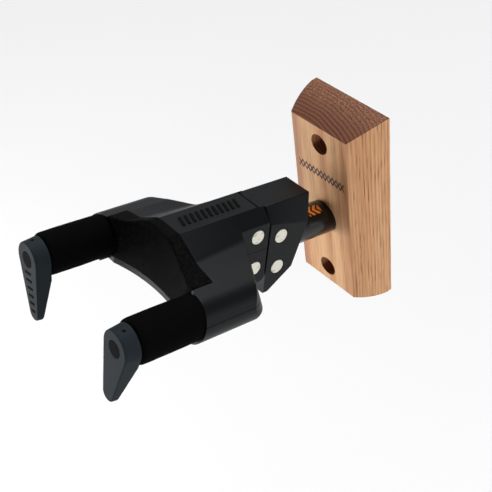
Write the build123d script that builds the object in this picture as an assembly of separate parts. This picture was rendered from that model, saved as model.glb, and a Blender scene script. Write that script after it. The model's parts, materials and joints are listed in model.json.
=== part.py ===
from build123d import *
import os
from math import acos, atan2, cos, degrees, radians, sin, tan

# Wall hanger for a guitar: a hardwood block on the wall, a short post, a swivelling head, and a
# yoke that hangs from the head on two parallel links. The neck rests between two foam covered
# arms. The guitar's weight pulls the yoke down, and the gates at the arm tips swing shut.
# Millimetres. The row's origin is the centre of the block's back face, on the wall.
# +X is to the right as seen facing the wall, -Y comes out into the room, +Z is up.

# Wooden block
BASE_WIDTH = 54.0
BASE_HEIGHT = 122.0
BASE_DEPTH = 24.0
BASE_SIDE_BEVEL = 6.3
BASE_END_BEVEL = 6.1
BASE_LAND = 3.5
BASE_BULGE = 0.9
BASE_EDGE_ROUND = 0.7
SCREW_SPACING = 88.0
SCREW_HOLE = 5.5
SCREW_POCKET = 12.0
SCREW_POCKET_DEPTH = 15.0

# Post, which leaves the block's front face tilted up
POST_TILT = 15.0
POST_DROP = 4.9
POST_DIAMETER = 19.0
POST_REACH = 38.0
POST_SEAT_DEPTH = 8.0
POST_CHAMFER = 0.4
BACK_POCKET = 24.0
BACK_POCKET_FLOOR = 14.5
BASE_BOLT = 8.0
BASE_BOLT_GRIP = 22.0
BASE_BOLT_HEAD = 13.0
BASE_BOLT_HEAD_HEIGHT = 5.3
BASE_WASHER = 20.0
BASE_WASHER_THICKNESS = 1.6
LABEL_FROM = 5.5
LABEL_LENGTH = 14.0
LABEL_HALF_ANGLE = 68.0
LABEL_THICKNESS = 0.15

# Swivel
SWIVEL_CLEARANCE = 0.08
SWIVEL_LIMIT = 30.0
STOP_PIN = 2.5
STOP_PIN_AT = 33.5
STOP_PIN_PROUD = 1.5
STOP_SLACK = 1.0
THRUST_WASHER_THICKNESS = 0.9
END_WASHER_MARGIN = 1.5
END_WASHER_THICKNESS = 1.5
END_SCREW = 5.0
END_SCREW_HEAD = 9.0
END_SCREW_HEAD_HEIGHT = 1.5
END_SCREW_GRIP = 14.0
AXIAL_CLEARANCE = 0.1

# Links: y and z in the head frame, at rest
LINK_LENGTH = 16.4
LINK_ANGLE = 15.6
REAR_PIN_Y = -45.6
REAR_UPPER_PIN_Z = 10.5
REAR_LOWER_PIN_Z = -8.4
LINK_RADIUS = 4.2
LINK_HALF_WIDTH = 7.6
PIN = 4.8
PIN_HEAD = 8.0
PIN_HEAD_HEIGHT = 0.7
PIN_HEAD_DOME = 0.42
PIN_RECESS = 0.6
PIN_RUNNING = 0.05
BUSH_WALL = 0.8

# Rear housing
HEAD_HALF_WIDTH = 15.0
HEAD_CAVITY_HALF_WIDTH = 12.0
HOUSING_TOP = 27.2
HOUSING_TOP_HALF_WIDTH = 9.0
HOUSING_FRONT = -53.3
HOUSING_TOP_REAR = -23.5
HOUSING_HEEL = (-35.0, -12.0)
HOUSING_CHIN = (-50.3, -23.0)
HOUSING_BEVEL_FRONT_Z = 19.6
HOUSING_BEVEL_REAR_Z = 12.5
HOUSING_TONGUE = 3.2
HOUSING_TONGUE_DEPTH = 3.1
HOUSING_ROUND = 0.8

# Yoke
SEAM_GAP = 1.1
TONGUE_GAP = 1.6
RIDGE_TOP = 28.0
RIDGE_HALF_WIDTH = 8.3
TAB_BOTTOM = -13.6
TAB_BEVEL = 2.0
SPINE_LOW_FRONT = -78.0
SPINE_FRONT = -97.0
SHOULDER_REAR = -56.0
SHOULDER_FRONT = -130.0
SHOULDER_ROOT = -64.0
SHOULDER_SWEEP = 30.0
SHOULDER_EDGE = 33.0
SHOULDER_TOP = 17.9
CREASE_REAR = (17.5, 19.2)
CREASE_FRONT = (24.5, 20.2)
SHOULDER_SLANT = 0.4
FOOT_HEIGHT = 8.0
FOOT_SWEEP = 43.0
SHOULDER_CORNER_ROUND = 14.0
CREASE_ROUND = 10.0
ARM_SPACING = 77.6
ARM_Z = 4.8
SOCKET_RADIUS = 12.1
SOCKET_INWARD = 0.4
SOCKET_LOWERED = 0.5
SOCKET_FRONT = -116.9
SOCKET_FRONT_SLANT = 0.16
PARTING_Z = 6.4
PARTING_GAP = 0.25
SHELL_WALL = 3.0
CAVITY_FRONT = -96.2
CAVITY_REAR = (12.0, -76.5)
CAVITY_SIDE_REAR = -85.8
CAVITY_TOP = 20.6
HUB_ROOM = 0.6
SHELL_SCREW = 3.0
SHELL_SCREW_HEAD = 5.6
SHELL_SCREW_HEAD_HEIGHT = 1.8
SHELL_SCREW_TOP = 12.0
SHELL_SCREW_PLACES = ((20.5, -75.2), (22.0, -100.8))

# Cradle pad
PAD_REAR = -105.2
PAD_CENTRE_FRONT = -111.5
PAD_SIDE_FRONT = -116.6
PAD_SIDE = 30.5
PAD_OUTER = 35.6
PAD_BOTTOM = -4.4
PAD_PROUD = 0.5
LIP_SETBACK = 0.6

# Arms and gates
FOAM_DIAMETER = 22.0
FOAM_TAIL = 20.8
TUBE_DIAMETER = 14.0
TUBE_COLLAR = 17.0
TUBE_COLLAR_WIDTH = 2.5
TUBE_COLLAR_AT = -100.0
ROD_DIAMETER = 8.0
ROD_RUNNING = 0.08
FOAM_REAR = -103.3
FOAM_FRONT = -151.3
FOAM_END_ROUND = 1.6
GATE_BACK = -151.8
GATE_FRONT = -159.5
GATE_HEAD_RADIUS = 8.9
GATE_FLARE = 0.9
GATE_TIP_RADIUS = 4.2
GATE_TIP_DROP = 29.1
GATE_TIP_THICKNESS = 2.4
GATE_EDGE_ROUND = 0.7
PLUG_DIAMETER = 8.6
PLUG_THICKNESS = 1.7
PLUG_PROUD = 0.15
GATE_SCREW = 1.6
GATE_SCREW_LEAN = 8.0

# Gate drive inside the yoke
GATE_SWING = 85.0
CRANK_THICKNESS = 3.2
CRANK_HUB_RADIUS = 5.6
CRANK_PIN = 3.0
CRANK_PIN_LENGTH = 4.4
CRANK_SCREW = 2.5
CRANK_SCREW_HEAD = 4.6
CRANK_SCREW_HEAD_HEIGHT = 0.5
ACTUATOR_THICKNESS = 2.0
ACTUATOR_GAP = 0.9
ACTUATOR_ARM_AT = 8.4
ACTUATOR_CLEARANCE = 0.5
FORK_HALF_HEIGHT = 4.6
FORK_CLEARANCE = 0.35
SPRING_RADIUS = 3.4
SPRING_WIRE = 0.9
SPRING_PITCH = 2.5
SPRING_AT = -82.0
SPRING_GAP = 0.1

# General
BORE_CLEARANCE = 0.05
PLAIN_CLEARANCE = 0.3
OVERCUT = 2.0
NEAR = 0.5

# Worked out from the sizes above
POST_RADIUS = POST_DIAMETER / 2
END_WASHER = POST_DIAMETER + 2 * END_WASHER_MARGIN
ARM_X = ARM_SPACING / 2
YOKE_REAR = HOUSING_FRONT - SEAM_GAP
LINK_STEP_Y = -LINK_LENGTH * cos(radians(LINK_ANGLE))
LINK_STEP_Z = LINK_LENGTH * sin(radians(LINK_ANGLE))
REAR_UPPER = (REAR_PIN_Y, REAR_UPPER_PIN_Z)
REAR_LOWER = (REAR_PIN_Y, REAR_LOWER_PIN_Z)
FRONT_UPPER = (REAR_PIN_Y + LINK_STEP_Y, REAR_UPPER_PIN_Z + LINK_STEP_Z)
FRONT_LOWER = (REAR_PIN_Y + LINK_STEP_Y, REAR_LOWER_PIN_Z + LINK_STEP_Z)
YOKE_DROP = 2 * LINK_STEP_Z
CRANK_THROW = YOKE_DROP / (2 * sin(radians(GATE_SWING / 2)))
TUBE_REAR = CAVITY_FRONT - PLAIN_CLEARANCE
CRANK_FRONT = CAVITY_FRONT + PLAIN_CLEARANCE
CRANK_REAR = CRANK_FRONT + CRANK_THICKNESS
FORK_FRONT = CRANK_REAR + ACTUATOR_GAP
FORK_REAR = FORK_FRONT + ACTUATOR_THICKNESS
ACTUATOR_ARM_BOTTOM = FRONT_LOWER[1] + PIN / 2 + ACTUATOR_CLEARANCE
ACTUATOR_ARM_TOP = FRONT_UPPER[1] - YOKE_DROP - PIN / 2 - ACTUATOR_CLEARANCE
SPRING_FLOOR = ACTUATOR_ARM_TOP
FORK_OUTER = ARM_X - CRANK_THROW * cos(radians(GATE_SWING / 2)) + CRANK_PIN / 2
CAVITY_BOTTOM = TAB_BOTTOM + SHELL_WALL
SOCKET_X = ARM_X - SOCKET_INWARD
SOCKET_Z = ARM_Z - SOCKET_LOWERED
SHOULDER_BOTTOM = SOCKET_Z - SOCKET_RADIUS
WING_BOTTOM = ARM_Z - YOKE_DROP / 2 - FORK_HALF_HEIGHT - 2 * PLAIN_CLEARANCE
WING_TOP = ARM_Z + YOKE_DROP / 2 + FORK_HALF_HEIGHT + 4 * PLAIN_CLEARANCE
WING_SIDE = ARM_X - 2 * HUB_ROOM

# The head frame sits on the block's front face, on the post's axis. Its -y runs out along the
# post, and everything but the block and its bolt is drawn in it.
HEAD = Location((0, -BASE_DEPTH, -POST_DROP), (-POST_TILT, 0, 0))


def across(rear):
    """A plane across the head's length, with x to the right, z up and its normal forward."""
    return Plane(origin=(0, rear, 0), x_dir=(1, 0, 0), z_dir=(0, -1, 0))


def outline(points):
    return make_face(Polyline(*points, close=True))


def mirrored(points):
    """Closes a half outline, drawn on the side where x is positive, with its mirror image."""
    return points + [(-x, other) for x, other in reversed(points) if x > 0]


def along_y(face, rear, front):
    """A face drawn in x and z, run forward from rear to front."""
    return extrude(across(rear) * face, rear - front)


def along_x(face, low, high):
    """A face drawn in y and z."""
    return extrude(Plane(origin=(low, 0, 0), x_dir=(0, 1, 0), z_dir=(1, 0, 0)) * face, high - low)


def along_z(face, low, high):
    """A face drawn in x and y."""
    return extrude(Plane.XY.offset(low) * face, high - low)


def block(x0, x1, y0, y1, z0, z1):
    middle = Pos((x0 + x1) / 2, (y0 + y1) / 2, (z0 + z1) / 2)
    return middle * Box(abs(x1 - x0), abs(y1 - y0), abs(z1 - z0))


def bar_y(x, z, diameter, rear, front):
    return along_y(Pos(x, z) * Circle(diameter / 2), rear, front)


def bar_x(place, diameter, half_length):
    return along_x(Pos(*place) * Circle(diameter / 2), -half_length, half_length)


def bar_z(x, y, diameter, low, high):
    return along_z(Pos(x, y) * Circle(diameter / 2), low, high)


def link_outline(one, other, radius):
    """Two round ends and the straight sides between them, in y and z."""
    length = ((other[0] - one[0]) ** 2 + (other[1] - one[1]) ** 2) ** 0.5
    turn = degrees(atan2(other[1] - one[1], other[0] - one[0]))
    middle = ((one[0] + other[0]) / 2, (one[1] + other[1]) / 2)
    return Pos(*middle) * Rot(0, 0, turn) * SlotCenterToCenter(length, 2 * radius)


def on_side(shape, side):
    """The shape as drawn, on the right, or its mirror image."""
    return shape if side > 0 else mirror(shape, about=Plane.YZ)


# ---- wooden block -------------------------------------------------------------------------


def block_section(half_width, bevel):
    """Half of the block's section: a short land at the wall, then a slightly bulged bevel."""
    front = half_width - bevel
    middle = (half_width - bevel / 2 + BASE_BULGE, -(BASE_DEPTH + BASE_LAND) / 2)
    edges = [
        Line((0, 0), (half_width, 0)),
        Line((half_width, 0), (half_width, -BASE_LAND)),
        ThreePointArc((half_width, -BASE_LAND), middle, (front, -BASE_DEPTH)),
        Line((front, -BASE_DEPTH), (0, -BASE_DEPTH)),
        Line((0, -BASE_DEPTH), (0, 0)),
    ]
    half = make_face(edges)
    return half + mirror(half, about=Plane.YZ)


def wood_base():
    across_width = extrude(block_section(BASE_WIDTH / 2, BASE_SIDE_BEVEL), BASE_HEIGHT, both=True)
    upright = Plane(origin=(0, 0, 0), x_dir=(0, 0, 1), z_dir=(-1, 0, 0))
    along_height = extrude(upright * block_section(BASE_HEIGHT / 2, BASE_END_BEVEL), BASE_WIDTH, both=True)
    body = across_width & along_height
    front_face = body.faces().sort_by(Axis.Y)[0]
    body = fillet(front_face.edges(), BASE_EDGE_ROUND)
    for z in (-SCREW_SPACING / 2, SCREW_SPACING / 2):
        body -= bar_y(0, z, SCREW_HOLE, OVERCUT, -BASE_DEPTH - OVERCUT)
        body -= bar_y(0, z, SCREW_POCKET, SCREW_POCKET_DEPTH - BASE_DEPTH, -BASE_DEPTH - OVERCUT)
    seat = bar_y(0, 0, POST_DIAMETER + 2 * BORE_CLEARANCE, POST_SEAT_DEPTH, -POST_RADIUS)
    bolt_hole = bar_y(0, 0, BASE_BOLT + 2 * BORE_CLEARANCE, BASE_DEPTH + POST_RADIUS, 0)
    pocket = bar_y(0, 0, BACK_POCKET, BASE_DEPTH + BACK_POCKET, BACK_POCKET_FLOOR)
    return body - HEAD * (seat + bolt_hole + pocket)


# ---- post and swivel ----------------------------------------------------------------------


def support_post():
    post = bar_y(0, 0, POST_DIAMETER, POST_SEAT_DEPTH, -POST_REACH)
    post = chamfer(post.edges().group_by(Axis.Y)[0], POST_CHAMFER)
    bolt_end = BACK_POCKET_FLOOR - BASE_BOLT_GRIP - OVERCUT
    post -= bar_y(0, 0, BASE_BOLT + 2 * BORE_CLEARANCE, BACK_POCKET_FLOOR, bolt_end)
    screw_end = OVERCUT - POST_REACH + END_SCREW_GRIP
    post -= bar_y(0, 0, END_SCREW + 2 * BORE_CLEARANCE, screw_end, -POST_REACH - OVERCUT)
    pin_hole = STOP_PIN + 2 * BORE_CLEARANCE
    return post - bar_z(0, -STOP_PIN_AT, pin_hole, POST_RADIUS / 2, POST_DIAMETER)


def hexagon(across_flats):
    return RegularPolygon(across_flats / 2, 6, major_radius=False)


def base_bolt():
    head_front = BACK_POCKET_FLOOR + BASE_WASHER_THICKNESS
    shank = bar_y(0, 0, BASE_BOLT, head_front, BACK_POCKET_FLOOR - BASE_BOLT_GRIP)
    return shank + along_y(hexagon(BASE_BOLT_HEAD), head_front + BASE_BOLT_HEAD_HEIGHT, head_front)


def base_washer():
    ring = Circle(BASE_WASHER / 2) - Circle(BASE_BOLT / 2 + PLAIN_CLEARANCE)
    return along_y(ring, BACK_POCKET_FLOOR + BASE_WASHER_THICKNESS, BACK_POCKET_FLOOR)


def sector(inner, outer, half_angle):
    """Part of a ring about the post's axis, centred on top, in x and z."""
    reach = 2 * outer
    edge = (reach * sin(radians(half_angle)), reach * cos(radians(half_angle)))
    wedge = outline([(0, 0), edge, (edge[0], reach), (-edge[0], reach), (-edge[0], edge[1])])
    return (Circle(outer) - Circle(inner)) & wedge


def post_label():
    band = sector(POST_RADIUS, POST_RADIUS + LABEL_THICKNESS, LABEL_HALF_ANGLE)
    return along_y(band, -LABEL_FROM, -LABEL_FROM - LABEL_LENGTH)


def stop_pin():
    return bar_z(0, -STOP_PIN_AT, STOP_PIN, POST_RADIUS / 2, POST_RADIUS + STOP_PIN_PROUD)


def thrust_washer():
    ring = Circle(END_WASHER / 2) - Circle(POST_RADIUS + BORE_CLEARANCE)
    return along_y(ring, THRUST_WASHER_THICKNESS - POST_REACH, -POST_REACH)


def end_washer():
    ring = Circle(END_WASHER / 2) - Circle(END_SCREW / 2 + PLAIN_CLEARANCE)
    return along_y(ring, -POST_REACH, -POST_REACH - END_WASHER_THICKNESS)


def end_screw():
    head_rear = -POST_REACH - END_WASHER_THICKNESS
    shank = bar_y(0, 0, END_SCREW, head_rear + END_SCREW_GRIP, head_rear)
    head = bar_y(0, 0, END_SCREW_HEAD, head_rear, head_rear - END_SCREW_HEAD_HEIGHT)
    recess_floor = head_rear - END_SCREW_HEAD_HEIGHT / 3
    recess = along_y(hexagon(END_SCREW_HEAD / 3), recess_floor, head_rear - OVERCUT)
    return shank + head - recess


# ---- rear housing and links ---------------------------------------------------------------


def housing_section(bevel_z):
    return outline(mirrored([
        (HOUSING_TOP_HALF_WIDTH, HOUSING_TOP),
        (HEAD_HALF_WIDTH, bevel_z),
        (HEAD_HALF_WIDTH, HOUSING_CHIN[1] - OVERCUT),
    ]))


def pin_recess(place, side):
    """A shallow round seat for a pin's head in the housing's or the yoke's side."""
    low = HEAD_HALF_WIDTH - PIN_RECESS
    face = Pos(*place) * Circle(PIN_HEAD / 2 + PLAIN_CLEARANCE)
    return on_side(along_x(face, low, HEAD_HALF_WIDTH + OVERCUT), side)


def rear_housing():
    sections = [
        across(HOUSING_TOP_REAR) * housing_section(HOUSING_BEVEL_REAR_Z),
        across(HOUSING_FRONT) * housing_section(HOUSING_BEVEL_FRONT_Z),
    ]
    body = loft(sections, ruled=True)
    body &= along_x(outline([
        (HOUSING_FRONT, HOUSING_TOP),
        (HOUSING_TOP_REAR, HOUSING_TOP),
        HOUSING_HEEL,
        HOUSING_CHIN,
        (HOUSING_FRONT, HOUSING_CHIN[1]),
    ]), -HEAD_HALF_WIDTH, HEAD_HALF_WIDTH)
    outer_edges = body.edges().filter_by(lambda edge: edge.center().Y > HOUSING_FRONT + NEAR)
    body = fillet(outer_edges, HOUSING_ROUND)
    body += block(-RIDGE_HALF_WIDTH, RIDGE_HALF_WIDTH, HOUSING_FRONT + OVERCUT,
                  HOUSING_FRONT - HOUSING_TONGUE, HOUSING_TOP - HOUSING_TONGUE_DEPTH, HOUSING_TOP)
    wall_front = THRUST_WASHER_THICKNESS + AXIAL_CLEARANCE - POST_REACH
    cavity_rear = REAR_PIN_Y + LINK_RADIUS + PLAIN_CLEARANCE
    cavity = outline([
        (cavity_rear, FRONT_UPPER[1] + LINK_RADIUS),
        (cavity_rear, REAR_LOWER_PIN_Z - LINK_RADIUS - PLAIN_CLEARANCE),
        (REAR_PIN_Y, REAR_LOWER_PIN_Z - LINK_RADIUS - 4 * PLAIN_CLEARANCE),
        (HOUSING_FRONT - OVERCUT, REAR_LOWER_PIN_Z - 2 * LINK_RADIUS),
        (HOUSING_FRONT - OVERCUT, FRONT_UPPER[1] + LINK_RADIUS),
    ])
    body -= along_x(cavity, -HEAD_CAVITY_HALF_WIDTH, HEAD_CAVITY_HALF_WIDTH)
    body -= bar_y(0, 0, POST_DIAMETER + 2 * SWIVEL_CLEARANCE, 0, wall_front - OVERCUT)
    body -= bar_y(0, 0, END_WASHER + 2 * PLAIN_CLEARANCE, wall_front, cavity_rear - OVERCUT)
    groove_outer = POST_RADIUS + STOP_PIN_PROUD + PLAIN_CLEARANCE
    groove_angle = SWIVEL_LIMIT + degrees(atan2(STOP_PIN / 2, POST_RADIUS)) + STOP_SLACK
    groove_rear = STOP_PIN / 2 + PLAIN_CLEARANCE - STOP_PIN_AT
    groove = sector(POST_RADIUS / 2, groove_outer, groove_angle)
    body -= along_y(groove, groove_rear, wall_front - OVERCUT)
    for place in (REAR_UPPER, REAR_LOWER):
        body -= bar_x(place, PIN + 2 * BORE_CLEARANCE, HEAD_HALF_WIDTH + OVERCUT)
        body -= pin_recess(place, 1)
        body -= pin_recess(place, -1)
    return body


def pin(place):
    """A plain pin right through the head, with a low domed head closed over at each side."""
    shape = bar_x(place, PIN, HEAD_HALF_WIDTH)
    for side in (1, -1):
        low = HEAD_HALF_WIDTH - PIN_RECESS
        face = Pos(*place) * Circle(PIN_HEAD / 2)
        head = along_x(face, low, low + PIN_HEAD_HEIGHT)
        head = fillet(head.edges().group_by(Axis.X)[-1], PIN_HEAD_DOME)
        shape += on_side(head, side)
    return shape


def link(rear, front):
    body = along_x(link_outline(rear, front, LINK_RADIUS), -LINK_HALF_WIDTH, LINK_HALF_WIDTH)
    bore = PIN + 2 * PIN_RUNNING + 2 * BUSH_WALL + 2 * BORE_CLEARANCE
    for place in (rear, front):
        body -= bar_x(place, bore, LINK_HALF_WIDTH + OVERCUT)
    return body


def link_bushes(rear, front):
    inner = PIN + 2 * PIN_RUNNING
    bushes = []
    for place in (rear, front):
        bush = bar_x(place, inner + 2 * BUSH_WALL, LINK_HALF_WIDTH)
        bushes.append(bush - bar_x(place, inner, LINK_HALF_WIDTH + OVERCUT))
    return bushes


# ---- yoke shells --------------------------------------------------------------------------


def socket_tangent():
    """Where the shoulder's slope runs into the round socket, in x and z."""
    run = SOCKET_X - SHOULDER_EDGE
    rise = SHOULDER_TOP - SOCKET_Z
    turn = atan2(rise, -run) - acos(SOCKET_RADIUS / (run ** 2 + rise ** 2) ** 0.5)
    return SOCKET_X + SOCKET_RADIUS * cos(turn), SOCKET_Z + SOCKET_RADIUS * sin(turn)


def shoulder_section(crease):
    """Ridge, sloping flanks and shoulders as far as the round sockets, in x and z."""
    face = outline(mirrored([
        (RIDGE_HALF_WIDTH, RIDGE_TOP),
        crease,
        (SHOULDER_EDGE, SHOULDER_TOP),
        socket_tangent(),
        (SOCKET_X, SOCKET_Z),
        (SOCKET_X, SHOULDER_BOTTOM),
    ]))
    soft = (crease[0], SHOULDER_EDGE)
    creases = [v for v in face.vertices() if min(abs(abs(v.X) - x) for x in soft) < NEAR]
    return fillet(creases, CREASE_ROUND)


def shoulder_solid(proud):
    """The shoulders' skin, or a skin that stands proud of it, from the tab to past the sockets.
    The flanks grow shallower towards the front."""
    sections = [
        across(SHOULDER_REAR) * offset(shoulder_section(CREASE_REAR), proud),
        across(SHOULDER_FRONT) * offset(shoulder_section(CREASE_FRONT), proud),
    ]
    body = loft(sections, ruled=True)
    for x in (SOCKET_X, -SOCKET_X):
        body += bar_y(x, SOCKET_Z, 2 * (SOCKET_RADIUS + proud), SHOULDER_REAR, SHOULDER_FRONT)
    return body


def shoulder_plan(sweep):
    """The yoke from above: swept back edges that round into the sockets' sides."""
    outer = ARM_X + SOCKET_RADIUS + PAD_PROUD
    swept = SHOULDER_ROOT - (outer - HEAD_HALF_WIDTH) * tan(radians(sweep))
    face = outline(mirrored([
        (HEAD_HALF_WIDTH, SHOULDER_ROOT),
        (outer, swept),
        (outer, SHOULDER_FRONT),
    ]))
    corners = [v for v in face.vertices() if abs(v.X) > outer - NEAR and v.Y > SHOULDER_FRONT + NEAR]
    return fillet(corners, SHOULDER_CORNER_ROUND)


def shoulder_envelope():
    """The plan, leaning so that its rear edges stand further back lower down. At the foot the
    outer corners are drawn in."""
    def at(height, sweep):
        return Pos(0, -SHOULDER_SLANT * height, height) * shoulder_plan(sweep)

    low = SHOULDER_BOTTOM + FOOT_HEIGHT
    upper = loft([at(low, SHOULDER_SWEEP), at(2 * RIDGE_TOP, SHOULDER_SWEEP)], ruled=True)
    return upper + loft([at(SHOULDER_BOTTOM, FOOT_SWEEP), at(low, SHOULDER_SWEEP)], ruled=True)


def socket_face(z):
    """How far forward the sockets' slanted front faces stand at a height."""
    return SOCKET_FRONT + SOCKET_FRONT_SLANT * (z - SHOULDER_TOP)


def yoke_outer():
    """Both shells together, before they are hollowed."""
    shoulders = shoulder_solid(0) & shoulder_envelope()
    shoulders &= along_x(outline([
        (SHOULDER_REAR, RIDGE_TOP),
        (SHOULDER_REAR, SHOULDER_BOTTOM),
        (socket_face(SHOULDER_BOTTOM), SHOULDER_BOTTOM),
        (socket_face(RIDGE_TOP), RIDGE_TOP),
    ]), -2 * ARM_X, 2 * ARM_X)
    flank = (RIDGE_TOP - CREASE_REAR[1]) / (CREASE_REAR[0] - RIDGE_HALF_WIDTH)
    spine = along_y(outline(mirrored([
        (RIDGE_HALF_WIDTH, RIDGE_TOP),
        (HEAD_HALF_WIDTH, RIDGE_TOP - flank * (HEAD_HALF_WIDTH - RIDGE_HALF_WIDTH)),
        (HEAD_HALF_WIDTH, TAB_BOTTOM),
    ])), YOKE_REAR, SPINE_FRONT)
    spine &= along_x(outline([
        (YOKE_REAR, RIDGE_TOP),
        (YOKE_REAR, TAB_BOTTOM + TAB_BEVEL),
        (YOKE_REAR - TAB_BEVEL, TAB_BOTTOM),
        (SPINE_LOW_FRONT, TAB_BOTTOM),
        (SPINE_FRONT, SHOULDER_BOTTOM),
        (SPINE_FRONT, RIDGE_TOP),
    ]), -HEAD_HALF_WIDTH, HEAD_HALF_WIDTH)
    return shoulders + spine


def cradle_plan(rear, setback, outer):
    """What the pad covers, in plan: from its straight back edge to the shallow arc in front."""
    centre = PAD_CENTRE_FRONT + setback
    side = PAD_SIDE_FRONT + setback
    edges = [
        Line((-outer, rear), (outer, rear)),
        Line((outer, rear), (outer, side)),
        Line((outer, side), (PAD_SIDE, side)),
        ThreePointArc((PAD_SIDE, side), (0, centre), (-PAD_SIDE, side)),
        Line((-PAD_SIDE, side), (-outer, side)),
        Line((-outer, side), (-outer, rear)),
    ]
    return make_face(edges)


def cradle_cut():
    """What is taken off the shells in front: the pad's room above, the setback lip below."""
    front = SOCKET_FRONT - 2 * SOCKET_RADIUS
    low = PAD_BOTTOM - 2 * SOCKET_RADIUS
    room = block(-PAD_OUTER, PAD_OUTER, PAD_REAR, front, PAD_BOTTOM, RIDGE_TOP + OVERCUT)
    below = block(-PAD_OUTER, PAD_OUTER, SPINE_FRONT, front, low, PAD_BOTTOM)
    lip = along_z(cradle_plan(SPINE_FRONT, LIP_SETBACK, PAD_OUTER), low, PAD_BOTTOM)
    return room + (below - lip)


def wing_cavity():
    """The room inside the shoulders for the forks, and a round one about each crank's hub."""
    plan = outline(mirrored([
        CAVITY_REAR,
        (WING_SIDE, CAVITY_SIDE_REAR),
        (WING_SIDE, CAVITY_FRONT),
    ]))
    room = along_z(plan, WING_BOTTOM, WING_TOP)
    for x in (ARM_X, -ARM_X):
        room += bar_y(x, ARM_Z, 2 * (CRANK_HUB_RADIUS + HUB_ROOM), FORK_REAR, CAVITY_FRONT)
    return room


def centre_cavity():
    half = HEAD_CAVITY_HALF_WIDTH
    rear = YOKE_REAR + OVERCUT
    room = block(-half, half, rear, CAVITY_FRONT, WING_BOTTOM, CAVITY_TOP)
    room += block(-half, half, rear, SPINE_LOW_FRONT, CAVITY_BOTTOM, WING_BOTTOM + OVERCUT)
    link_half = LINK_HALF_WIDTH + 2 * PLAIN_CLEARANCE
    link_top = FRONT_UPPER[1] + 2 * LINK_RADIUS + PLAIN_CLEARANCE
    link_front = FRONT_UPPER[0] - LINK_RADIUS
    return room + block(-link_half, link_half, rear, link_front, CAVITY_TOP - OVERCUT, link_top)


def arm_seat(side):
    """One arm's way through the shells: tube bore, collar groove and the foam's socket."""
    x = side * ARM_X
    seat = bar_y(x, ARM_Z, TUBE_DIAMETER + 2 * BORE_CLEARANCE, CAVITY_FRONT + OVERCUT, FOAM_REAR)
    half = TUBE_COLLAR_WIDTH / 2 + BORE_CLEARANCE
    collar = TUBE_COLLAR + 2 * BORE_CLEARANCE
    seat += bar_y(x, ARM_Z, collar, TUBE_COLLAR_AT + half, TUBE_COLLAR_AT - half)
    socket = FOAM_TAIL + 2 * BORE_CLEARANCE
    return seat + bar_y(x, ARM_Z, socket, FOAM_REAR + PLAIN_CLEARANCE, 2 * SOCKET_FRONT)


def screw_places():
    return [(side * x, y) for x, y in SHELL_SCREW_PLACES for side in (1, -1)]


def shell_screw_bottom():
    return SHOULDER_BOTTOM + SHELL_SCREW_HEAD_HEIGHT / 2


def yoke_shells():
    body = yoke_outer() - cradle_cut() - wing_cavity() - centre_cavity()
    notch = RIDGE_HALF_WIDTH + PLAIN_CLEARANCE
    notch_front = HOUSING_FRONT - HOUSING_TONGUE - TONGUE_GAP
    notch_floor = HOUSING_TOP - HOUSING_TONGUE_DEPTH - PLAIN_CLEARANCE
    body -= block(-notch, notch, YOKE_REAR + OVERCUT, notch_front, notch_floor, RIDGE_TOP + OVERCUT)
    for side in (1, -1):
        body -= arm_seat(side)
    for place in (FRONT_UPPER, FRONT_LOWER):
        body -= bar_x(place, PIN + 2 * BORE_CLEARANCE, HEAD_HALF_WIDTH + OVERCUT)
        for side in (1, -1):
            body -= pin_recess(place, side)
    low = shell_screw_bottom()
    head_top = low + SHELL_SCREW_HEAD_HEIGHT
    shank = SHELL_SCREW + 2 * BORE_CLEARANCE
    head = SHELL_SCREW_HEAD + 2 * PLAIN_CLEARANCE
    for x, y in screw_places():
        body -= bar_z(x, y, shank, low, SHELL_SCREW_TOP + PLAIN_CLEARANCE)
        body -= bar_z(x, y, head, -2 * SOCKET_RADIUS, head_top)
    span = 3 * ARM_X
    parting = PARTING_GAP / 2
    top = body & block(-span, span, 0, 2 * GATE_FRONT, PARTING_Z + parting, span)
    bottom = body & block(-span, span, 0, 2 * GATE_FRONT, -span, PARTING_Z - parting)
    return top, bottom


def shell_screws():
    low = shell_screw_bottom()
    head_top = low + SHELL_SCREW_HEAD_HEIGHT
    screws = []
    for x, y in screw_places():
        head = bar_z(x, y, SHELL_SCREW_HEAD, low, head_top)
        shank = bar_z(x, y, SHELL_SCREW, head_top, SHELL_SCREW_TOP)
        recess = bar_z(x, y, SHELL_SCREW_HEAD / 3, low - OVERCUT, low + SHELL_SCREW_HEAD_HEIGHT / 2)
        screws.append(head + shank - recess)
    return screws


def cradle_pad():
    pad = shoulder_solid(PAD_PROUD)
    plan = cradle_plan(PAD_REAR - PLAIN_CLEARANCE, 0, PAD_OUTER - PLAIN_CLEARANCE)
    pad &= along_z(plan, PAD_BOTTOM + PLAIN_CLEARANCE / 2, RIDGE_TOP + OVERCUT)
    for side in (1, -1):
        pad -= bar_y(side * ARM_X, ARM_Z, FOAM_TAIL + 2 * PLAIN_CLEARANCE, 0, 2 * GATE_FRONT)
    return pad


# ---- arms ---------------------------------------------------------------------------------


def arm_tube(side):
    x = side * ARM_X
    tube = bar_y(x, ARM_Z, TUBE_DIAMETER, TUBE_REAR, FOAM_FRONT)
    half = TUBE_COLLAR_WIDTH / 2
    tube += bar_y(x, ARM_Z, TUBE_COLLAR, TUBE_COLLAR_AT + half, TUBE_COLLAR_AT - half)
    bore = ROD_DIAMETER + 2 * ROD_RUNNING
    return tube - bar_y(x, ARM_Z, bore, TUBE_REAR + OVERCUT, FOAM_FRONT - OVERCUT)


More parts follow.
